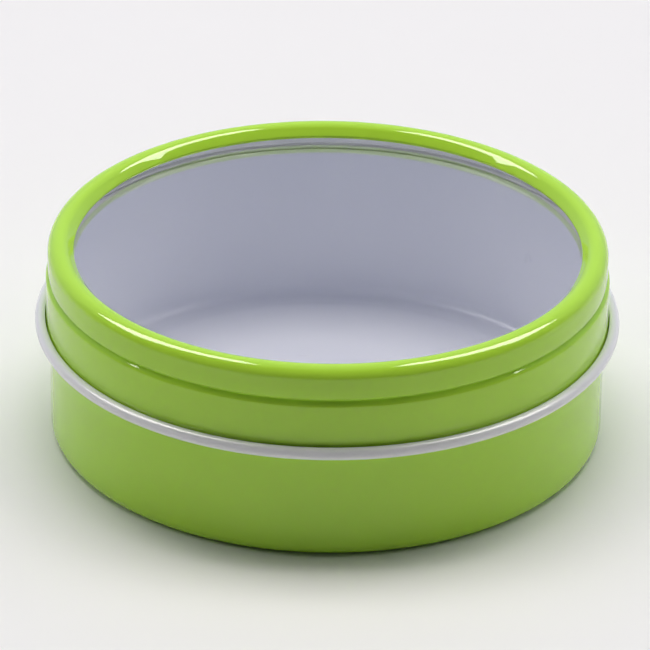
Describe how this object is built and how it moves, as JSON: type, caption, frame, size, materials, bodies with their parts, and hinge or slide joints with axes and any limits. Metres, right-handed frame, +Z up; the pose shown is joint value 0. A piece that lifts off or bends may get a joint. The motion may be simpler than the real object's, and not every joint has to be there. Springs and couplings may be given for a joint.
{
  "type": "window lid tin",
  "caption": "Shallow round slip-lid tin: a drawn cup with a plain edge, and a lift-off lid ring with a beaded skirt that holds a clear window pane.",
  "frame": {"origin": "centre of the tin's footprint, on the surface that it stands on", "axes": "+Z up along the tin's axis, out through the window; the tin is round, so +X and +Y are any two directions square to it"},
  "size_m": [0.086, 0.086, 0.0302],
  "materials": {
    "base_lacquer": "gloss lacquer on tinplate, green outside, white inside",
    "lid_lacquer": "gloss lacquer on tinplate, green outside, white inside and on the rolled bead",
    "clear_film": "clear polished film"
  },
  "bodies": {
    "base": {"base_cup": "base_lacquer"},
    "lid": {"lid_frame": "lid_lacquer", "window_pane": "clear_film"}
  },
  "joints": [
    {"name": "lid_lift", "type": "slide", "parent": "base", "child": "lid", "axis": [0, 0, 1], "range_m": [0, 0.04]}
  ]
}
